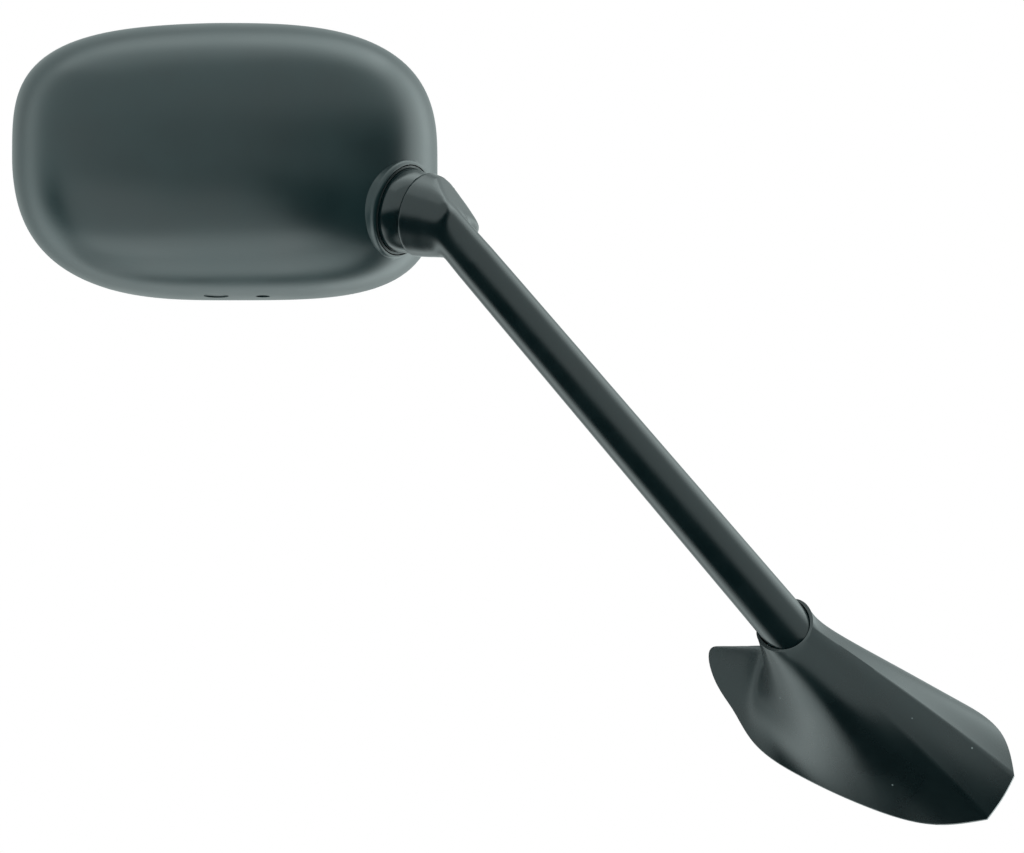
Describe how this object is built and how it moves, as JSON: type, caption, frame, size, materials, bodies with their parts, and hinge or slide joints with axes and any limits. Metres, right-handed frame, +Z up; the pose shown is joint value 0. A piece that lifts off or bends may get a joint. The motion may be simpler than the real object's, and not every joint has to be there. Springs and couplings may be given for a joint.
{
  "type": "motorcycle mirror",
  "caption": "Fairing-mounted rear-view mirror: rounded black housing on a ball neck, slim tapered arm and a swept rubber boot over a two-stud foot.",
  "frame": {"origin": "middle of the two studs on the mounting face of the foot", "axes": "+X across the machine from the mirror head towards the boot, +Y rearward out of the mirror glass, +Z up"},
  "size_m": [0.3658, 0.0802, 0.2923],
  "materials": {
    "housing_black": "fine satin grain",
    "cast_black": "satin black paint",
    "boot_rubber": "matt moulded rubber",
    "pad_rubber": "matt",
    "ball_nylon": "smooth",
    "bush_nylon": "smooth",
    "zinc_steel": "bright zinc",
    "spring_steel": "phosphated",
    "mirror_glass": "silvered glass"
  },
  "bodies": {
    "base": {"base_bracket": "cast_black", "base_gasket": "pad_rubber", "mount_studs": "zinc_steel", "mirror_boot": "boot_rubber", "swivel_bush": "bush_nylon", "spring_seat": "zinc_steel"},
    "arm": {"mirror_arm": "cast_black", "swivel_springs": "spring_steel", "swivel_washer": "zinc_steel", "swivel_nut": "zinc_steel", "pivot_stud": "zinc_steel", "pressure_cap": "zinc_steel", "pivot_springs": "spring_steel", "pivot_washer": "zinc_steel", "pivot_nut": "zinc_steel"},
    "ball": {"pivot_ball": "ball_nylon"},
    "liner": {"socket_liner": "bush_nylon"},
    "head": {"mirror_housing": "housing_black", "mirror_glass": "mirror_glass", "glass_seal": "pad_rubber"}
  },
  "joints": [
    {"name": "arm_swivel", "type": "hinge", "parent": "base", "child": "arm", "pos_m": [-0.00401, -0.01749, 0.00696], "axis": [-0.6464, 0.0492, 0.7614], "range_deg": [-30, 60]},
    {"name": "ball_twist", "type": "hinge", "parent": "arm", "child": "ball", "pos_m": [-0.16746, 0.00927, 0.18923], "axis": [-0.8162, 0.53, 0.2301], "range_deg": [-20, 20]},
    {"name": "head_pan", "type": "hinge", "parent": "ball", "child": "liner", "pos_m": [-0.16746, 0.00927, 0.18923], "axis": [0, 0, 1], "range_deg": [-11, 11]},
    {"name": "head_tilt", "type": "hinge", "parent": "liner", "child": "head", "pos_m": [-0.16746, 0.00927, 0.18923], "axis": [1, 0, 0], "range_deg": [-9, 9]}
  ]
}
